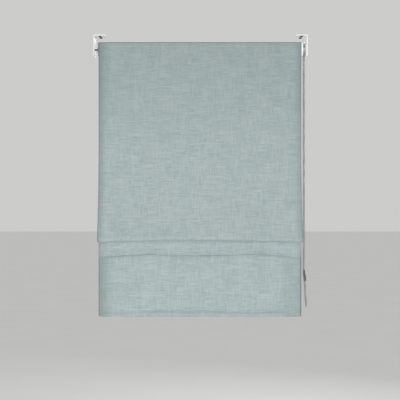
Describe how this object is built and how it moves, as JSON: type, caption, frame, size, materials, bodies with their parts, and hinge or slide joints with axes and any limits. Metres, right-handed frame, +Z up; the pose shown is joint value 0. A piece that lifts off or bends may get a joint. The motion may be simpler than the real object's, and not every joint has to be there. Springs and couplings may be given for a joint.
{
  "type": "roman blind",
  "caption": "Fabric roman blind on a headrail with two end brackets, shown part raised with an open fold, with lift cords, rods and a beaded control chain.",
  "frame": {"origin": "on the ceiling plane that the bracket flanges touch, at the middle of the four screw holes", "axes": "+X to the right as seen from the room, +Y away from the room, +Z up"},
  "size_m": [0.6066, 0.0776, 0.799],
  "materials": {
    "rail_white": "white powder coat on aluminium",
    "bracket_white": "white powder coat on pressed steel",
    "tape": "woven touch tape",
    "face": "slubbed linen weave, pale grey green blue",
    "lining": "plain cotton sateen lining",
    "white_plastic": "moulded white plastic",
    "clear_plastic": "natural plastic",
    "steel": "dark zinc plate",
    "chain_metal": "nickel plate",
    "grey_plastic": "moulded dark grey plastic",
    "shaft_metal": "mill finish",
    "cord": "braided polyester",
    "rod": "pultruded glass fibre"
  },
  "bodies": {
    "headrail": {"headrail": "rail_white", "left_bracket": "bracket_white", "right_bracket": "bracket_white", "hook_tape": "tape", "loop_tape": "tape", "face_cloth": "face", "lining": "lining", "left_end_cap": "white_plastic", "idle_spring": "steel", "control_housing": "white_plastic", "control_cover": "white_plastic", "brake_spring": "steel", "bead_chain": "chain_metal", "joiner_upper": "grey_plastic", "joiner_lower": "grey_plastic", "left_cradle": "white_plastic", "right_cradle": "white_plastic", "left_lift_cord": "cord", "right_lift_cord": "cord"},
    "idle_pin": {"idle_pin": "steel"},
    "drive": {"chain_wheel": "white_plastic", "drive_shaft": "shaft_metal", "shaft_bush": "white_plastic", "left_spool": "white_plastic", "right_spool": "white_plastic"},
    "upper_rod": {"upper_rod": "rod", "upper_pocket": "lining", "upper_rod_tips": "white_plastic", "upper_left_ring": "clear_plastic", "upper_right_ring": "clear_plastic"},
    "middle_rod": {"middle_rod": "rod", "middle_pocket": "lining", "middle_rod_tips": "white_plastic", "middle_left_ring": "clear_plastic", "middle_right_ring": "clear_plastic"},
    "lift_rod": {"lift_rod": "rod", "lift_pocket": "lining", "lift_rod_tips": "white_plastic", "left_anchor": "clear_plastic", "right_anchor": "clear_plastic"},
    "bottom_bar": {"bottom_bar": "shaft_metal", "bar_plugs": "white_plastic"}
  },
  "joints": [
    {"name": "raise", "type": "slide", "parent": "headrail", "child": "bottom_bar", "axis": [0, 0, 1], "range_m": [0, 0.5065], "deforming": ["face_cloth", "lining", "left_lift_cord", "right_lift_cord"]},
    {"name": "lift_rod_raise", "type": "slide", "parent": "headrail", "child": "lift_rod", "axis": [0, 0, 1], "range_m": [0, 0.4033]},
    {"name": "middle_rod_raise", "type": "slide", "parent": "headrail", "child": "middle_rod", "axis": [0, 0, 1], "range_m": [0, 0.2865]},
    {"name": "upper_rod_raise", "type": "slide", "parent": "headrail", "child": "upper_rod", "axis": [0, 0, 1], "range_m": [0, 0.0934]},
    {"name": "drive_turn", "type": "hinge", "parent": "headrail", "child": "drive", "pos_m": [0, 0, -0.04], "axis": [-1, 0, 0], "range_deg": [0, 2641], "deforming": ["bead_chain"]},
    {"name": "idle_pin_press", "type": "slide", "parent": "headrail", "child": "idle_pin", "axis": [1, 0, 0], "range_m": [0, 0.004], "stiffness_N_per_m": 600, "springref_m": -0.002, "deforming": ["idle_spring"]}
  ],
  "couplings": [
    {"joint": "lift_rod_raise", "follows": "raise", "ratio": 0.79605},
    {"joint": "middle_rod_raise", "follows": "raise", "ratio": 0.56538},
    {"joint": "upper_rod_raise", "follows": "raise", "ratio": 0.18421},
    {"joint": "drive_turn", "follows": "raise", "rad_per_m": 90.978}
  ]
}
